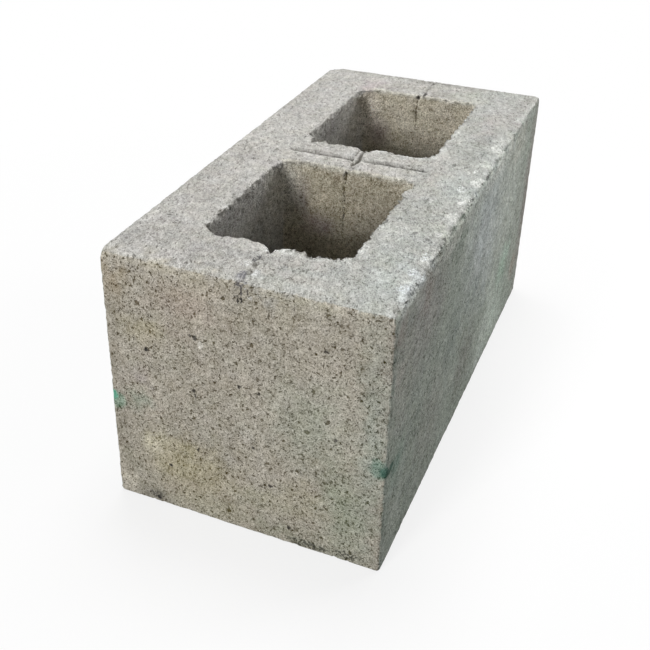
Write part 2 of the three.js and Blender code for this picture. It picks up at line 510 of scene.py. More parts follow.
def keep_in_mould(block):
    """Flattens what stands past the mould's faces."""
    co = np.empty(len(block.data.vertices) * 3)
    block.data.vertices.foreach_get("co", co)
    inside = np.clip(co.reshape(-1, 3), np.array(LOW), np.array(HIGH))
    block.data.vertices.foreach_set("co", inside.ravel())


def on_face(axis, face, depth, marks):
    """Gives marks that lie along a face their place and their radius across it as well."""
    return [
        ((*place[:axis], face / MM, *place[axis:]), (*radii[:axis], depth, *radii[axis:]), *rest)
        for place, radii, *rest in marks
    ]


# Stains and tonal patches on the near end at low X, the top and the long side at low Y: place and radii
# in mm along the face, colour and strength
END_DABS = [
    ((50, 46), (40, 34), "bfb592", 0.65),
    ((-48, 46), (20, 22), "bbb599", 0.5),
    ((42, 186), (36, 26), "c6b8a9", 0.7),
    ((98, 194), (14, 22), "ad9d81", 0.7),
    ((76, 158), (26, 14), "bfb594", 0.5),
    ((82, 117), (14, 9), "b3a9aa", 0.4),
    ((84, 95), (16, 9), "9bab98", 0.5),
    ((101, 110), (9, 100), "a9a294", 0.7),
    ((-97, 110), (15, 120), "a9b1a4", 0.7),
    ((-75, 55), (18, 50), "a9b09a", 0.7),
    ((-52, 112), (40, 48), "b3b7a6", 0.7),
    ((-60, 6), (40, 7), "979d8a", 0.5),
    ((30, 10), (60, 14), "b1ae92", 0.4),
    ((-20, 34), (40, 14), "b9b79b", 0.4),
    ((74, 6), (16, 9), "6a675d", 0.7),
    ((97, 12), (10, 9), "d8d1bf", 0.85),
    ((72, 58), (15, 11), "d6cfb6", 0.65),
    ((-2, 92), (12, 9), "c9c5b8", 0.5),
    ((0, 150), (34, 12), "bab5a8", 0.4),
    ((28, 200), (18, 12), "cfc4b3", 0.5),
    ((-28, 196), (18, 14), "cac2ae", 0.5),
    ((96, 160), (12, 14), "a9a18f", 0.5),
    ((97, 34), (12, 16), "aaa794", 0.5),
    ((60, 211), (60, 4), "cfc7b2", 0.7),
    ((-50, 210), (45, 4), "d0cab4", 0.6),
    ((25, 205), (14, 9), "cdc4b4", 0.6),
    ((1, 206), (9, 10), "a09a90", 0.6),
    ((30, 36), (46, 32), "bcb390", 0.3),
    ((-86, 34), (18, 40), "a7b19c", 0.4),
    ((-25, 11), (30, 10), "9fa28b", 0.5),
    ((-68, 16), (26, 7), "c2c2ae", 0.5),
    ((20, 206), (75, 8), "cbc2ad", 0.35),
    ((97, 134), (10, 14), "b9ae9c", 0.4),
]
TOP_DABS = [
    ((-120, 85), (140, 30), "b9b6b2", 0.6),
    ((120, 85), (120, 30), "b6b4b1", 0.6),
    ((185, 52), (22, 12), "b9acaf", 0.7),
    ((-189, 20), (8, 60), "b3b2ad", 0.6),
    ((-189, -40), (9, 34), "b0b4ae", 0.6),
    ((-212, -30), (10, 40), "bcbfb9", 0.6),
    ((-195, 96), (22, 14), "aeaca8", 0.6),
    ((-165, -88), (55, 22), "bcc2be", 0.6),
    ((-108, -71), (22, 14), "cccdc8", 0.8),
    ((-165, -104), (46, 6), "dfe6e6", 0.8),
    ((-30, -103), (20, 6), "ccd1cf", 0.7),
    ((-20, -92), (32, 16), "b6bcb8", 0.6),
    ((72, -97), (14, 8), "d6d8cf", 0.8),
    ((-216, 40), (4, 90), "c6c4bd", 0.5),
    ((217, 0), (9, 130), "9a9993", 0.8),
    ((183, 34), (12, 22), "a8a19e", 0.6),
    ((179, -16), (8, 12), "9a958e", 0.8),
    ((202, -8), (12, 16), "c6c4be", 0.8),
    ((203, 30), (8, 60), "bebcb6", 0.5),
    ((-8, 0), (5, 60), "c6c2bc", 0.6),
    ((-180, -55), (14, 10), "b1b2ad", 0.6),
    ((-110, -70), (16, 10), "c6c8c3", 0.5),
    ((-189, 36), (14, 26), "aeaaa8", 0.5),
    ((-212, 3), (7, 5), "959397", 0.8),
    ((-188, -15), (8, 8), "9da09b", 0.6),
    ((-30, 66), (18, 10), "b0ada9", 0.6),
    ((-20, 38), (5, 16), "b3afa8", 0.6),
    ((-18, -18), (5, 12), "afa79f", 0.6),
    ((180, -82), (44, 34), "abaca8", 0.6),
    ((80, -86), (60, 20), "abaca7", 0.7),
    ((190, -45), (18, 22), "adb3a3", 0.5),
    ((130, -82), (60, 14), "b9b3af", 0.6),
    ((145, -99), (70, 10), "a49f9b", 0.75),
    ((0, -68), (60, 9), "b7b2ad", 0.5),
    ((-22, 0), (4, 60), "c8c5b8", 0.6),
    ((-192, 6), (12, 8), "d2d2cf", 0.3),
    ((192, -8), (24, 72), "acaaa4", 0.5),
    ((-183, 15), (8, 50), "a8a7a3", 0.4),
    ((175, -72), (24, 12), "a9aaa6", 0.4),
    ((115, -102), (16, 6), "9a9892", 0.6),
    ((-192, -101), (14, 5), "e2e8e8", 0.8),
    ((-150, 98), (24, 8), "c2c0bb", 0.5),
    ((-68, 66), (16, 9), "a9a7a3", 0.5),
    ((-30, 82), (14, 9), "a9a7a3", 0.5),
    ((75, 66), (14, 9), "a9a6a3", 0.4),
    ((-8, 34), (5, 18), "d0cdc6", 0.5),
    ((-8, -20), (5, 9), "a9a69e", 0.5),
    ((-19, -45), (5, 9), "cfcdc4", 0.6),
    ((202, 5), (6, 9), "c9c6bf", 0.6),
]
# the long side's patches grow lighter towards high X, partly painted light
SIDE_DABS = [
    ((-110, 165), (20, 16), "959690", 0.5),
    ((-28, 110), (16, 20), "a9b0a8", 0.4),
    ((8, 165), (15, 50), "d6dbd8", 0.65),
    ((50, 14), (16, 10), "d6dcd4", 0.6),
    ((-190, 110), (30, 70), "9ca69f", 0.4),
    ((-193, 32), (28, 30), "b5b9ae", 0.5),
    ((-68, 95), (20, 22), "888f88", 0.4),
    ((50, 137), (26, 16), "c9cecb", 0.6),
    ((130, 190), (20, 14), "b0b2a6", 0.5),
    ((170, 75), (18, 20), "90978b", 0.7),
    ((-205, 205), (14, 12), "b7b4aa", 0.5),
    ((-150, 180), (70, 60), "a4a09b", 0.7),
    ((-150, 195), (16, 22), "a69a92", 0.5),
    ((-205, 195), (12, 20), "a59890", 0.5),
    ((-56, 108), (34, 44), "8f978f", 0.65),
    ((30, 160), (80, 80), "bec4c2", 0.9),
    ((120, 150), (80, 90), "c3c8bf", 0.8),
    ((128, 76), (30, 26), "bcd2c0", 0.8),
    ((110, 30), (60, 40), "c6d0c4", 0.85),
    ((-90, 206), (70, 9), "d4d6cc", 0.8),
    ((60, 205), (130, 10), "dbded5", 0.8),
    ((140, 192), (50, 18), "c6c6ba", 0.6),
    ((50, 100), (30, 30), "bcc3be", 0.6),
    ((-195, 86), (20, 24), "8fa293", 0.7),
    ((-8, 50), (46, 38), "8a8981", 0.65),
    ((-110, 60), (50, 60), "99978f", 0.5),
    ((208, 110), (22, 140), "8f8983", 0.9),
    ((-195, 140), (36, 60), "b0b0a5", 0.6),
    ((-30, 182), (26, 24), "c9cfc7", 0.75),
    ((80, 70), (24, 30), "d0d8cd", 0.6),
    ((128, 122), (30, 30), "a8aea3", 0.6),
    ((-205, 165), (14, 14), "c3c0b6", 0.75),
    ((60, 28), (28, 26), "cad2c8", 0.6),
    ((172, 115), (16, 60), "9b9d93", 0.6),
    ((186, 46), (16, 20), "a7968a", 0.6),
]
DABS = [
    *on_face(0, LOW.x, 20, END_DABS),
    *on_face(2, HIGH.z, 20, TOP_DABS),
    *on_face(1, LOW.y, 20, SIDE_DABS),
]
# The same on the walls of the cells only, with places and radii along X, Y and Z; besides stains, many are
# painted shade and painted light: darker deep in the cells, in corners and near the tops of the long walls,
# lighter where light falls near the far corners
CELL_STAINS_AND_SHADE = [
    ((-25, 20, 160), (12, 14, 14), "8f7f83", 0.7),
    ((170, 38, 172), (12, 16, 14), "94858a", 0.6),
    ((170, -10, 190), (12, 70, 55), "cac2b0", 0.85),
    # these two: painted shade and painted light across the near cell's far corner
    ((-25, 37, 182), (12, 9, 26), "857a77", 0.7),
    ((-25, 51, 184), (12, 8, 22), "c6bbb8", 0.7),
    ((-25, -35, 172), (12, 30, 36), "968f81", 0.8),
    # painted shade deep in the near cell, on its far wall and its long wall
    ((-25, 0, 92), (12, 90, 70), "75726a", 0.9),
    ((-97, 57, 90), (90, 12, 80), "858582", 0.8),
    # these six: painted light on the long walls near the far corners, painted shade near their tops further
    # along
    ((-30, 57, 190), (34, 22, 46), "dad7cd", 0.85),
    ((-122, 57, 200), (40, 8, 18), "918f8c", 0.85),
    ((-78, 57, 209), (18, 8, 8), "96938f", 0.7),
    ((165, 57, 190), (50, 22, 46), "d8d4ca", 0.85),
    ((84, 57, 200), (40, 8, 18), "898682", 0.85),
    ((130, 57, 208), (24, 8, 8), "a39f9a", 0.7),
    # painted light over the shade in the far cell's corner
    ((170, 47, 188), (12, 12, 30), "f0e6d8", 0.9),
    ((-25, -22, 208), (12, 30, 8), "a39b88", 0.6),
    # painted shade deep in the far cell
    ((170, 0, 50), (12, 90, 100), "807d75", 0.8),
    ((170, 0, 207), (12, 60, 9), "d2cab7", 0.6),
    ((138, 57, 184), (20, 12, 12), "cbc7bf", 0.7),
    ((-70, 57, 180), (30, 12, 14), "bdbab4", 0.6),
    ((-147, 57, 200), (13, 12, 14), "84827d", 0.6),
    ((-25, 30, 163), (12, 10, 14), "8c7774", 0.45),
    ((170, 40, 172), (12, 12, 16), "84706f", 0.45),
    # painted light at the top of the far cell's corner
    ((170, 52, 206), (12, 10, 12), "e6dccb", 0.5),
    ((170, 0, 180), (12, 14, 10), "a09a88", 0.3),
    ((-25, -53, 204), (12, 8, 14), "a3a194", 0.65),
    # painted light deep on the near cell's far wall
    ((-25, 0, 138), (12, 26, 20), "d2c9b4", 0.8),
]

# How open each face's pores are and how strong its sand and its mottling are: long sides, ends, underside,
# top, cell walls that face the sides, cell walls that face the ends
FACE_TEXTURE = [
    (0.7, 1.05, 1.45),
    (1.1, 1.34, 1.22),
    (0.5, 1.30, 1.30),
    (0.6, 0.90, 1.18),
    (0.5, 1.20, 1.20),
    (0.55, 1.60, 1.45),
]
# How much stronger the sand of the top and long sides is at the block's low and high X ends
SAND_ALONG = (1.12, 0.55)
# Patches of the near end where the pores are more or less open: place and radii in mm along it, and how
# many times as open
END_POROUS = [
    ((-60, 7), (38, 8), 2.6),
    ((-55, 192), (44, 20), 0.65),
    ((73, 8), (16, 10), 1.8),
    ((10, 6), (60, 8), 1.4),
    ((2, 178), (14, 34), 1.35),
    ((40, 112), (20, 14), 1.4),
    ((98, 110), (10, 110), 1.3),
    ((-50, 130), (50, 40), 0.75),
    ((30, 190), (70, 12), 0.75),
]
POROUS = [*on_face(0, LOW.x, 20, END_POROUS), ((-25, -30, 150), (12, 50, 60), 1.3)]
# Where stains and patches begin and where single stains are full, as shares of their radii
STAIN_EDGE = (1.25, 0.6)
# How the edges of patches wander: distance between their turns and how far they go, in mm
WANDER = [(11, 9), (4, 4)]
WANDER_SEED = 1
# How far the top's colour laps over the cells' mouths in mm: at their high X edges and elsewhere
LAP = (2.4, 4.0)
# Where the bloom on the top's worn long side starts along Y, and how wide its soft edge is, in mm
BLOOM_START, BLOOM_EDGE = -40, 30
# How far pale crumbs spread in from the worn long edge and from the cells' low X edges, in mm
FRINGE, RIM = 15, 5
# Where along X the fringe of crumbs fades, in mm
FRINGE_FADE = (60, 110)


def paint_tones(block, sizes, colours):
    """Broad tones and stains, with painted light and shade in the cells and on the long side, and the
    strengths of the fine textures, at every vertex.
    """
    places = Places(block, sizes)
    tone = np.tile(np.array(colours.side), (len(places.co), 1))
    everywhere = np.ones(len(tone), bool)

    def lay(mask, new):
        nonlocal tone
        tone = tone * (1 - mask[:, None]) + np.array(new) * mask[:, None]

    def within(place, radii, wander):
        away = (places.co + wander - np.array(place) * MM) / (np.array(radii) * MM)
        return near(np.linalg.norm(away, axis=1), STAIN_EDGE[0])

    noise.seed_set(WANDER_SEED)
    wander = np.zeros_like(places.co)
    for turns, reach in WANDER:
        wander += np.array([noise.noise_vector(Vector(p) / (turns * MM)) for p in places.co]) * reach * MM
    faces = np.array([places.to_side, places.to_end, places.to_foot, places.to_top + 0.1 * wander[:, 2]])
    face = np.where(places.inside, 4 + places.facing_x, np.argmin(faces, axis=0))
    lap = np.where(places.facing_x & (places.x_in_cell > 0), *LAP) * MM
    face[places.inside & (places.to_top < lap + 0.25 * wander[:, 0])] = 3
    on_top = face == 3
    tones = (colours.side, colours.end, colours.foot, colours.top, colours.cell_side, colours.cell_end)
    for index, new in enumerate(tones):
        lay((face == index) * 1.0, new)
    lay(on_top * np.clip((BLOOM_START * MM - places.y) / (BLOOM_EDGE * MM), 0, 1), colours.top_right)
    lip = places.facing_x & (places.x_in_cell > 0) & (places.from_cell < 5 * MM)
    lay(lip * near(places.to_top - 2 * MM, 5 * MM) * 0.8, colours.lip)

    # small patches wander less, and so do those on the smoother walls of the cells
    for dabs, where, ragged in ((DABS, face < 4, 1), (CELL_STAINS_AND_SHADE, face > 3, 0.5)):
        for place, radii, hex_colour, strength in dabs:
            edge = ragged * min(1, min(radii) / 10) * wander
            lay(strength * where * within(place, radii, edge), linear(hex_colour))
    # the cement is a little redder or bluer by turns
    tone *= 1 + wander / (WANDER[0][1] * MM) * (0.02, 0, 0.03)

    worn = np.empty(len(tone))
    block.data.attributes["worn_edge"].data.foreach_get("value", worn)
    broken = speckle(places, everywhere, 14) * 2.4 + 0.35
    crumbly = speckle(places, everywhere, 4) * 2.4 + 0.8
    lay(np.clip(worn * broken * crumbly, 0, 0.8) * on_top, colours.crumb)
    fringe = near(places.y - LOW.y + 0.6 * wander[:, 0], FRINGE * MM) * on_top
    fringe *= np.interp(places.x, [x * MM for x in FRINGE_FADE], (1, 0.3))
    lay(np.clip(fringe * (1.25 * broken - 0.2) * crumbly, 0, 0.9), colours.crumb)
    rim = near(places.from_mouth, RIM * MM) * on_top * (places.x_in_cell < 0) * (places.y < 6 * MM)
    lay(np.clip(rim * broken * 0.9, 0, 0.7), colours.crumb)

    texture = np.array(FACE_TEXTURE)[face]
    along = np.interp(places.x, (LOW.x, HIGH.x), SAND_ALONG)
    texture[:, 1] *= np.where((face == 0) | on_top, along, 1)
    texture[:, 1] *= np.where(on_top & (places.y > 58 * MM), 0.88, 1)
    for place, radii, times in POROUS:
        texture[:, 0] *= 1 + (times - 1) * within(place, radii, wander)
    block.data.attributes.remove(block.data.attributes["porous"])
    for name, values in (("cast_tone", tone), ("cast_texture", texture)):
        attribute = block.data.color_attributes.new(name, "FLOAT_COLOR", "POINT")
        attribute.data.foreach_set("color", np.c_[values, np.ones(len(tone))].astype(np.float32).ravel())


# Sand grains, and the broad mottling of the paste: feature size in mm, detail, share of the brightness
SAND = [
    (1.0, 1, 1.35),
]
MOTTLE = [
    (5, 1, 0.30),
    (14, 2, 0.36),
    (45, 2, 0.28),
]
# Stones cut by the surface: size in mm, share of the brightness
STONES = [
    (1.7, 0.34),
    (3.2, 0.16),
]
# Ragged pores between the stones: feature size in mm, the noise values between which they open, brightness;
# their darkness is painted shade
PORES = [
    (2.1, 0.61, 0.66, 0.36),
    (3.3, 0.64, 0.68, 0.30),
]
# Single specks: spacing in mm, the chance below which a spacing has none, largest radius in mm,
# brightness, and whether they are open pores, whose darkness is painted shade; the bright ones are pale
# stones
SPECKS = [
    (6, 0.30, 1.6, 0.38, True),
    (14, 0.45, 2.2, 0.32, True),
    (6.0, 0.45, 1.6, 1.28, False),
]
# Marks of green paint at both corners of the near end: place and radii in mm, colour and strength
GREEN_MARKS = [
    ((-220, 106, 93), (5, 4.5, 5), "4fbf9e", 0.9),
    ((-220, 103, 89), (5, 8, 8), "84b59b", 0.5),
    ((-220, -106, 92), (4, 4.2, 4.5), "163f33", 1.0),
    ((-220, -103, 93), (5, 8, 8), "6f9484", 0.6),
    ((-220, -100, 99), (5, 4, 4), "a9c0b0", 0.5),
    ((-212, -107.5, 90), (9, 5, 4), "2f5446", 0.85),
    ((-198, -107.5, 84), (12, 5, 7), "71887b", 0.5),
]
# Stones, pores and chips that stand out on the near end: places and radii along it in mm, colour, strength,
# and True where beads break them up; the dark ones are painted shade in pores, pits and the seam's mark
END_SPOTS = [
    ((30.5, 157), (2.4, 3.4), "eae5d9", 1.0),
    ((35, 162), (1.6, 2.2), "3d3a34", 0.9),
    ((38.5, 163), (1.4, 1.2), "45423b", 0.85),
    ((7, 155.5), (1.9, 1.4), "dcd7ca", 0.9),
    ((74.5, 141.5), (1.8, 1.8), "262421", 0.95),
    ((37.5, 117), (1.8, 1.8), "38342f", 0.9),
    ((36.5, 113), (1, 2), "45423b", 0.85),
    ((1.5, 131), (1.8, 1.4), "38352f", 0.9),
    ((-13.5, 129.5), (1.6, 1.3), "38352f", 0.9),
    ((-9, 81), (1.6, 1.4), "38352f", 0.9),
    ((-22, 50), (1.8, 1.5), "332f2a", 0.9),
    ((-37, 16), (1.8, 1.8), "38352f", 0.9),
    ((36, 64), (1.4, 1.6), "38352f", 0.9),
    ((60, 41), (1.6, 1.3), "38352f", 0.9),
    ((-62, 177.5), (2.2, 1.2), "332f2a", 0.9),
    ((-70, 108), (1.3, 1.8), "38352f", 0.8),
    ((76, 8), (9, 3), "55524a", 0.7, True),
    ((-52, 5), (18, 3.6), "45463b", 0.8, True),
    ((-84, 7), (13, 4.6), "3f4036", 0.8, True),
    ((-4, 90), (7, 6), "d2cec3", 0.6, True),
    ((-45, 71), (9, 4), "c9c6ba", 0.6, True),
    ((72, 61), (9, 7), "d6cfb4", 0.6, True),
    ((72, 5), (2, 2), "201e1b", 0.95),
    ((0.6, 212.6), (3.4, 2.6), "5b595c", 0.8, True),
    ((-1.2, 208), (0.9, 4), "4c4a4c", 0.85),
    ((1.2, 200.6), (0.9, 2.8), "35322e", 0.95),
    ((-1.2, 201), (0.9, 2.6), "35322e", 0.95),
    ((-5, 213), (2.6, 2.6), "d6d6d4", 0.8, True),
    ((-7.5, 204.4), (1.6, 1.6), "dcd9d2", 0.85),
    ((-5.8, 208), (0.9, 2.4), "5b5552", 0.9),
]
# The same for the top and for the seams down the cells' walls, with places and radii along X, Y and Z; the
# dark ones are painted shade in the grooves, cracks and seams and in notches along the worn long edge
TOP_SPOTS = [
    ((-209, 2.4, 215), (5, 3.2, 3), "77767d", 0.75, True),
    ((-217, -2, 215), (4, 3, 3), "77767d", 0.6, True),
    ((-101.4, -98.6, 215), (3.6, 3, 4), "e6e6e2", 0.76),
    ((-161, -98, 215), (6, 3.4, 4), "e6eaec", 0.72, True),
    ((-184, -99, 215), (6, 4, 4), "e2e8ec", 0.72, True),
    ((-137, -100, 215), (7, 2.8, 4), "e0e5e6", 0.72, True),
    ((-46, -100, 215), (3.6, 2.4, 4), "e1e1dd", 0.72),
    ((-21, -94, 215), (6, 5, 4), "e4e6e4", 0.72, True),
    ((-16, -76, 215), (5, 3, 4), "d6d9d4", 0.64, True),
    ((12, -90, 215), (5, 2.4, 4), "dbddd8", 0.68, True),
    ((18, -95, 215), (4, 2, 4), "e2e3df", 0.68),
    ((73, -97, 215), (4, 4, 4), "e0e2dc", 0.72, True),
    ((22, -76, 215), (3, 1.6, 3), "6f706b", 0.7),
    ((51, -91.5, 215), (5, 1.8, 3), "777874", 0.7, True),
    ((16, -106, 215), (6, 1.5, 5), "585853", 0.9),
    ((156, -90, 215), (6, 1.6, 3), "84847f", 0.6, True),
    ((-51, -78, 215), (3.4, 1.8, 3), "d5d5d1", 0.72),
    ((-196, -105.4, 215), (6, 1.5, 4), "585954", 0.9, True),
    ((-172, -104.6, 215), (7, 1.5, 4), "585954", 0.9, True),
    ((-104, -104, 215), (4, 1.5, 4), "5d5d59", 0.85),
    ((-34, -105.8, 214), (10, 1.7, 5), "585853", 0.9, True),
    ((-112, -93.6, 215), (2.4, 1.6, 3), "72726e", 0.8),
    ((-106, -83, 215), (2.4, 1.7, 3), "72726e", 0.8),
    ((-51, -75, 215), (5, 1.4, 3), "6a6a66", 0.8, True),
    ((-195.6, 6.8, 215), (5, 3.4, 3), "e2e2e0", 0.8, True),
    ((-204.5, -4, 215), (5, 4, 3), "e6e7e5", 0.75),
    ((-188.6, 3.7, 215), (3.4, 1.8, 3), "4f4e4f", 0.85, True),
    ((-192.2, -0.7, 215), (3, 1.4, 3), "55545a", 0.8, True),
    ((-182.5, 2.9, 215), (3, 1.6, 3), "4f4e4f", 0.85, True),
    ((-181.3, -1.4, 215), (4, 1.2, 3), "5c5b5f", 0.7, True),
    ((-190, -19, 215), (3, 2.4, 3), "77787a", 0.7, True),
    ((-121, 58, 215), (5, 2.5, 4), "e3e2dd", 0.8),
    ((-33, 79, 215), (3, 2.2, 3), "4a4744", 0.8, True),
    ((-19, 95, 215), (3, 2.2, 3), "4a4744", 0.8, True),
    ((-151, 90, 215), (4, 2.2, 3), "5c5956", 0.8, True),
    ((-161, 80, 215), (3, 1.8, 3), "5c5956", 0.75, True),
    ((34, 58, 215), (9, 1.6, 3), "55524f", 0.8, True),
    ((177, -4.4, 215), (6, 2, 3), "45423f", 0.95),
    ((171, 0.4, 213), (5, 2, 3), "3f3c39", 0.9),
    ((0.8, 32, 215), (5.2, 25, 4), "95918d", 0.6),
    ((-1.8, 34, 215), (1.8, 24, 4), "6a6662", 0.6, True),
    ((0, 55.3, 215), (3.4, 1.4, 4), "4c4945", 0.8),
    ((2.2, -31, 215), (5.2, 25, 4), "93918c", 0.6),
    ((0, -31, 215), (1.8, 25, 4), "686560", 0.6, True),
    ((0.7, -16.4, 215), (3.6, 1, 4), "4c4945", 0.9),
    ((2.4, -54.5, 215), (3.4, 2, 4), "34312e", 0.9),
    ((-5.6, -0.6, 215), (4, 1.5, 4), "3d3a36", 0.85),
    ((-25, 1.0, 185), (6, 0.9, 32), "3b3832", 0.75, True),
    ((-25, 1.6, 210), (6, 1.7, 5), "34312c", 0.8, True),
    ((170, 0.8, 197), (6, 0.8, 20), "59544a", 0.65, True),
]
SPOTS = GREEN_MARKS + on_face(0, LOW.x, 3, END_SPOTS) + TOP_SPOTS


# The grain is drawn out along the way the block was struck off: degrees from X, and how many times
STRUCK_TURN = 20
STRUCK_STRETCH = 1.6
# How ragged the outlines of stones, pores and stains are: size of their turns and how far they go, in mm
SWING_SIZE, SWING_REACH = 2.2, 3.4
# Beads that break up a stain: size in mm, and the noise values between which they begin
BEAD_SIZE = 1.9
BEAD_NOISE = (0.46, 0.56)
# Painted shade in hollows: it darkens them between these depths in mm, down to this share of their brightness
PAINTED_SHADE_DEPTHS = (0.8, 3)
HOLLOW_PAINTED_SHADE = 0.4
# Height in mm that a full change of the grain's brightness stands for
GRAIN_HEIGHT = 0.6


def concrete():
    """Dense aggregate concrete, vibrated and pressed in a steel mould: matt, sandy, with open pores."""
    material = bpy.data.materials.new("cast dense concrete")
    material.use_nodes = True
    tree = material.node_tree
    place = add(tree, "ShaderNodeTexCoord").outputs["Object"]
    tone = add(tree, "ShaderNodeAttribute", attribute_name="cast_tone").outputs["Color"]
    hollow = add(tree, "ShaderNodeAttribute", attribute_name="hollow").outputs["Fac"]
    strengths = add(tree, "ShaderNodeAttribute", attribute_name="cast_texture").outputs["Color"]
    open_pores, sand, mottle = add(tree, "ShaderNodeSeparateColor", {"Color": strengths}).outputs
    turn = (0, 0, math.radians(STRUCK_TURN))
    struck = {"Vector": place, "Rotation": turn, "Scale": (STRUCK_STRETCH, 1, 1)}
    struck = add(tree, "ShaderNodeMapping", struck, vector_type="TEXTURE")

    # places that swing to and fro, so that stones, pores and spots have ragged outlines
    swing = add(tree, "ShaderNodeTexNoise", {"Vector": place, "Scale": 1 / (SWING_SIZE * MM), "Detail": 2})
    swing = {0: swing.outputs["Color"], 1: (0.5,) * 3}
    swing = add(tree, "ShaderNodeVectorMath", swing, operation="SUBTRACT")
    swung = {0: swing, 1: (SWING_REACH * MM,) * 3, 2: place}
    bent = add(tree, "ShaderNodeVectorMath", swung, operation="MULTIPLY_ADD")
    bent_struck = add(tree, "ShaderNodeVectorMath", {**swung, 2: struck}, operation="MULTIPLY_ADD")
    beads = add(tree, "ShaderNodeTexNoise", {"Vector": place, "Scale": 1 / (BEAD_SIZE * MM), "Detail": 1})
    beads = {"Value": beads, "From Min": BEAD_NOISE[0], "From Max": BEAD_NOISE[1]}
    beads = add(tree, "ShaderNodeMapRange", beads, interpolation_type="SMOOTHSTEP")

    # stains and green paint, and painted shade in pores, grooves, cracks and seams
    for spot, radii, hex_colour, strength, *beaded in SPOTS:
        offset = {0: bent, 1: Vector(spot) * MM}
        offset = add(tree, "ShaderNodeVectorMath", offset, operation="SUBTRACT")
        away = {0: offset, 1: Vector(radii) * MM}
        away = add(tree, "ShaderNodeVectorMath", away, operation="DIVIDE")
        away = add(tree, "ShaderNodeVectorMath", {0: away}, operation="LENGTH").outputs["Value"]
        share = {"Value": away, "From Min": STAIN_EDGE[0], "From Max": STAIN_EDGE[1], "To Max": strength}
        share = add(tree, "ShaderNodeMapRange", share, interpolation_type="SMOOTHSTEP")
        if beaded:
            share = add(tree, "ShaderNodeMath", {0: share, 1: beads}, operation="MULTIPLY")
        stain = {0: share, 6: tone, 7: (*linear(hex_colour), 1)}
        tone = add(tree, "ShaderNodeMix", stain, data_type="RGBA").outputs[2]

    # how far each point is brighter or darker than the paste
    grains = []
    for layers, strength in ((SAND, sand), (MOTTLE, mottle)):
        for size, detail, share in layers:
            texture = {"Vector": struck, "Scale": 1 / (size * MM), "Detail": detail}
            grains.append((add(tree, "ShaderNodeTexNoise", texture), share, strength))
    for size, share in STONES:
        texture = add(tree, "ShaderNodeTexVoronoi", {"Vector": bent_struck, "Scale": 1 / (size * MM)})
        stone = add(tree, "ShaderNodeSeparateColor", {"Color": texture.outputs["Color"]})
        grains.append((stone, share, mottle))
    total = 0.0
    for grain, share, strength in grains:
        swing = {0: grain, 1: share, 2: -0.5 * share}
        swing = add(tree, "ShaderNodeMath", swing, operation="MULTIPLY_ADD")
        total = {0: swing, 1: strength, 2: total}
        total = add(tree, "ShaderNodeMath", total, operation="MULTIPLY_ADD")
    light = add(tree, "ShaderNodeMath", {0: total, 1: 1.05}, operation="ADD")

    # ragged pores and single round pores, darkened as painted shade, and pale stones
    raised = total
    for size, low, high, brightness in PORES:
        texture = {"Vector": struck, "Scale": 1 / (size * MM), "Detail": 2, "Roughness": 0.6}
        gap = {"Value": add(tree, "ShaderNodeTexNoise", texture), "From Min": low, "From Max": high}
        gap = add(tree, "ShaderNodeMapRange", gap, interpolation_type="SMOOTHSTEP")
        pore = add(tree, "ShaderNodeMath", {0: gap, 1: open_pores}, operation="MULTIPLY", use_clamp=True)
        raised = add(tree, "ShaderNodeMath", {0: raised, 1: pore}, operation="SUBTRACT")
        shade = add(tree, "ShaderNodeMapRange", {"Value": pore, "To Min": 1, "To Max": brightness})
        light = add(tree, "ShaderNodeMath", {0: light, 1: shade}, operation="MULTIPLY")
    for spacing, least, radius, brightness, is_pore in SPECKS:
        texture = {"Vector": bent_struck, "Scale": 1 / (spacing * MM)}
        texture = add(tree, "ShaderNodeTexVoronoi", texture)
        chance = add(tree, "ShaderNodeSeparateColor", {"Color": texture.outputs["Color"]})
        reach = {"Value": chance, "From Min": least, "To Min": -0.2 * radius, "To Max": radius}
        reach = add(tree, "ShaderNodeMapRange", reach, clamp=False)
        speck = {0: texture.outputs["Distance"], 1: -spacing, 2: reach}
        speck = add(tree, "ShaderNodeMath", speck, operation="MULTIPLY_ADD")
        speck = {"Value": speck, "From Max": 0.4}
        speck = add(tree, "ShaderNodeMapRange", speck, interpolation_type="SMOOTHSTEP")
        if is_pore:
            pore = {0: speck, 1: open_pores}
            speck = add(tree, "ShaderNodeMath", pore, operation="MULTIPLY", use_clamp=True)
            raised = add(tree, "ShaderNodeMath", {0: raised, 1: speck}, operation="SUBTRACT")
        shade = {"Value": speck, "To Min": 1, "To Max": brightness}
        shade = add(tree, "ShaderNodeMapRange", shade, clamp=False)
        light = add(tree, "ShaderNodeMath", {0: light, 1: shade}, operation="MULTIPLY")

    # painted shade in the hollows, by their depth
    low, high = PAINTED_SHADE_DEPTHS
    painted_shade = {"Value": hollow, "From Min": low * MM, "From Max": high * MM, "To Min": 1, "To Max": HOLLOW_PAINTED_SHADE}
    painted_shade = add(tree, "ShaderNodeMapRange", painted_shade)
    factor = add(tree, "ShaderNodeMath", {0: light, 1: painted_shade}, operation="MULTIPLY")
    # half of the change scales the tone and half adds the same grey, so that the painted shade of hollows and
    # pores keeps their hue
    change = add(tree, "ShaderNodeMath", {0: factor, 1: 0.5, 2: -0.5}, operation="MULTIPLY_ADD")
    grey = add(tree, "ShaderNodeRGBToBW", {0: tone})
    greyed = add(tree, "ShaderNodeMath", {0: change, 1: grey}, operation="MULTIPLY")
    scale = add(tree, "ShaderNodeMath", {0: change, 1: 1.0}, operation="ADD")
    scaled = add(tree, "ShaderNodeVectorMath", {0: tone, "Scale": scale}, operation="SCALE")
    base = add(tree, "ShaderNodeVectorMath", {0: scaled, 1: greyed}, operation="ADD")
    bump = add(tree, "ShaderNodeBump", {"Strength": 1.0, "Distance": GRAIN_HEIGHT * MM, "Height": raised})
    finish = {"Base Color": base, "Normal": bump, "Roughness": 0.93, "IOR": 1.5, "Specular IOR Level": 0.35}
    fill(tree, tree.nodes["Principled BSDF"], finish)
    return material


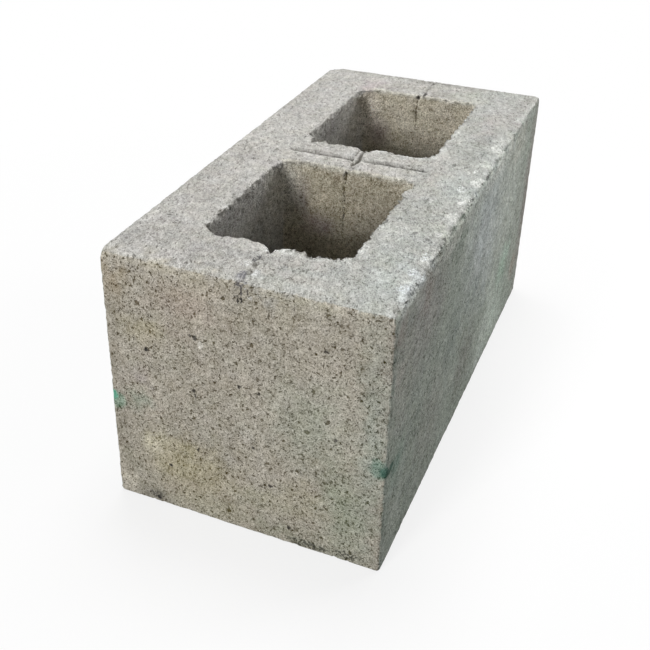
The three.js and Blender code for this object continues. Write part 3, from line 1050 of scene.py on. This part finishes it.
class BLOCK_OT_cast(bpy.types.Operator):
    """Cast the hollow block and weather its faces, edges and cell mouths"""

    bl_idname = "block.cast"
    bl_label = "Cast block"

    def execute(self, context):
        sizes = context.scene.block_sizes
        block = cast_form(sizes)
        block.modifiers.new("resample", "REMESH").voxel_size = sizes.voxel
        apply_modifiers(block)
        places = Places(block, sizes)
        sink, dark = deliberate_relief(places, sizes)
        store(block, "sink", sink)
        store(block, "dark", dark)
        store(block, "whole", np.ones(len(places.x)))
        porous = np.maximum(near(places.to_end, 3 * MM), 0.8 * places.inside)
        store(block, "porous", np.maximum(porous, 0.4 * near(places.to_top, 3 * MM)))
        worn = np.zeros(len(places.x))
        for first, second, at_low_x, at_high_x, reach in EDGE_WEAR:
            amount = np.interp(places.x, [x * MM for x in WEAR_CHANGE], (at_low_x, at_high_x))
            worn = np.maximum(worn, amount * near(places.edge(first, second), reach * MM))
        store(block, "worn_edge", worn)
        store(block, "worn_rim", rim_wear(places))
        shape_mouths(block, places)
        weather(block, RELIEF)
        for name in ("sink", "dark", "whole", "worn_rim"):
            block.data.attributes.remove(block.data.attributes[name])
        thin = block.modifiers.new("thin", "DECIMATE")
        thin.ratio = sizes.triangles / (2 * len(block.data.polygons))
        apply_modifiers(block)
        keep_in_mould(block)
        bpy.ops.object.shade_smooth()
        paint_tones(block, sizes, context.scene.block_colours)
        block.data.materials.clear()
        block.data.materials.append(concrete())
        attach(block, BODY)
        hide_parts(NODE)
        return {"FINISHED"}


# Side of the floor in metres
FLOOR_SIZE = 12
# Distances in metres between which the floor's glow grows, and its share under the block
GLOW_REACH = (0.25, 0.7)
LEAST_GLOW = 0.8
# Lamps: name, place and aim in metres, side in metres and watts
LAMPS = [
    ("overhead", (0.45, 0.2, 2.1), (0, 0, 0.1), 1.0, 30.5),
    ("front", (-3.4, 0.8, 1.35), (0, 0, 0.15), 0.8, 75),
    ("far right", (0.9, -0.9, 0.5), (0.15, -0.1, 0.1), 0.5, 7.8),
]
# Camera: place in mm, turns in degrees, and shift as a share of the picture's width
CAMERA_PLACE = (-711.82, -247.61, 534.67)
CAMERA_TURN = (60.4733, -0.5570, -66.4603)
CAMERA_SHIFT = (0.05205, -0.0831)


def seen_or_mirrored(tree):
    """1 for what is seen, straight or in a shine, and 0 for the light that it throws on the block."""
    rays = add(tree, "ShaderNodeLightPath").outputs
    kinds = {0: rays["Is Camera Ray"], 1: rays["Is Glossy Ray"]}
    return add(tree, "ShaderNodeMath", kinds, operation="MAXIMUM")


def white_board():
    """Painted board, matt and even: it looks white, and throws back only the light of a grey one."""
    material = bpy.data.materials.new("matt white board")
    material.use_nodes = True
    tree = material.node_tree
    shader = tree.nodes["Principled BSDF"]
    seen = seen_or_mirrored(tree)
    board = {"Factor": seen, 6: (*linear("898989"), 1), 7: (*linear("f7f7f7"), 1)}
    board = add(tree, "ShaderNodeMix", board, data_type="RGBA").outputs[2]
    fill(tree, shader, {"Base Color": board, "Roughness": 0.9, "Specular IOR Level": 0})
    # it glows as well, less so under the block, so that only the block's own shade shows on it
    place = add(tree, "ShaderNodeTexCoord").outputs["Object"]
    away = add(tree, "ShaderNodeVectorMath", {0: place}, operation="LENGTH").outputs["Value"]
    lit = {"Value": away, "From Min": GLOW_REACH[0], "From Max": GLOW_REACH[1], "To Min": LEAST_GLOW}
    lit = add(tree, "ShaderNodeMapRange", lit)
    shown = add(tree, "ShaderNodeMath", {0: lit, 1: seen}, operation="MULTIPLY")
    glow = add(tree, "ShaderNodeEmission", {"Color": (*linear("ffffff"), 1), "Strength": 1.0})
    mixed = add(tree, "ShaderNodeMixShader", {0: shown, 1: shader, 2: glow})
    fill(tree, tree.nodes["Material Output"], {"Surface": mixed})
    return material


def studio():
    """A room that looks white and lights the block dimly from all round."""
    world = bpy.data.worlds.new("studio")
    world.use_nodes = True
    tree = world.node_tree
    tree.nodes.clear()
    dim = add(tree, "ShaderNodeBackground", {"Color": (*linear("fcfdff"), 1), "Strength": 0.139})
    bright = add(tree, "ShaderNodeBackground", {"Color": (*linear("ffffff"), 1), "Strength": 1.0})
    mixed = add(tree, "ShaderNodeMixShader", {0: seen_or_mirrored(tree), 1: dim, 2: bright})
    add(tree, "ShaderNodeOutputWorld", {"Surface": mixed})
    return world


class BLOCK_OT_stage(bpy.types.Operator):
    """Set up the floor, the soft studio lamps and the camera"""

    bl_idname = "block.stage"
    bl_label = "Set the stage"

    def execute(self, context):
        scene = context.scene
        bpy.ops.object.select_all(action="DESELECT")
        bpy.ops.mesh.primitive_plane_add(size=FLOOR_SIZE, location=(0, 0, 0))
        floor = context.active_object
        floor.name = "floor"
        floor.data.materials.append(white_board())
        scene.world = studio()

        for name, place, aim, side, watts in LAMPS:
            data = bpy.data.lights.new(name, "AREA")
            data.shape = "SQUARE"
            data.size = side
            data.energy = watts
            lamp = bpy.data.objects.new(name, data)
            lamp.location = place
            lamp.rotation_euler = (Vector(aim) - Vector(place)).to_track_quat("-Z", "Y").to_euler()
            scene.collection.objects.link(lamp)

        data = bpy.data.cameras.new("camera")
        data.sensor_width = 36
        data.lens = scene.block_stage.lens
        data.shift_x, data.shift_y = CAMERA_SHIFT
        camera = bpy.data.objects.new("camera", data)
        camera.location = Vector(CAMERA_PLACE) * MM
        camera.rotation_euler = Euler([math.radians(angle) for angle in CAMERA_TURN], "XYZ")
        scene.collection.objects.link(camera)
        scene.camera = camera
        scene.view_settings.view_transform = "Standard"
        return {"FINISHED"}


class BLOCK_PT_panel(bpy.types.Panel):
    """Sizes and steps of the block"""

    bl_label = "Hollow block"
    bl_idname = "BLOCK_PT_panel"
    bl_space_type = "VIEW_3D"
    bl_region_type = "UI"
    bl_category = "Block"

    def draw(self, context):
        for group, kind in GROUPS.items():
            for name in kind.__annotations__:
                self.layout.prop(getattr(context.scene, group), name)
        for step in (BLOCK_OT_cast, BLOCK_OT_stage):
            self.layout.operator(step.bl_idname)


CLASSES = (*GROUPS.values(), BLOCK_OT_cast, BLOCK_OT_stage, BLOCK_PT_panel)


def register():
    """Registers the classes and hangs the sizes and colours on the scene."""
    for each in CLASSES:
        bpy.utils.register_class(each)
    for name, group in GROUPS.items():
        setattr(bpy.types.Scene, name, PointerProperty(type=group))


def unregister():
    """Takes all of it away again."""
    for name in GROUPS:
        delattr(bpy.types.Scene, name)
    for each in reversed(CLASSES):
        bpy.utils.unregister_class(each)


def main():
    """Builds the block and its stage."""
    register()
    bpy.ops.block.cast()
    bpy.ops.block.stage()


if __name__ == "__main__":
    main()
